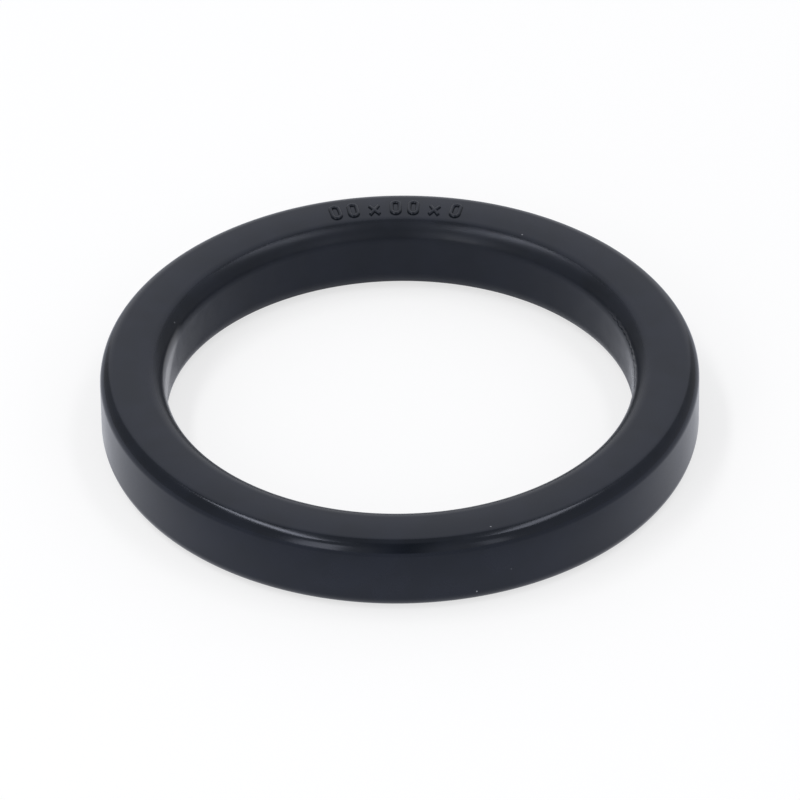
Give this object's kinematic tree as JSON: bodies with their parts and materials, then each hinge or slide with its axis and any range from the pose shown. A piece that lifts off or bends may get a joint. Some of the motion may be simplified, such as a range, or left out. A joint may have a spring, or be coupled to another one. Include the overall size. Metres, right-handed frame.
{
  "type": "group head gasket",
  "caption": "Moulded rubber sealing ring of near-square section with four rounded edges, for the group head of an espresso machine.",
  "frame": {"origin": "centre of the hole on the lower sealing face, which is what the ring lies on", "axes": "+Z along the ring's axis, out of the face that carries the raised marks; the marks stand at +Y and read upright from -Y"},
  "size_m": [0.073, 0.073, 0.0095],
  "materials": {
    "black_rubber": "satin"
  },
  "bodies": {
    "root": {"gasket": "black_rubber"}
  },
  "joints": []
}
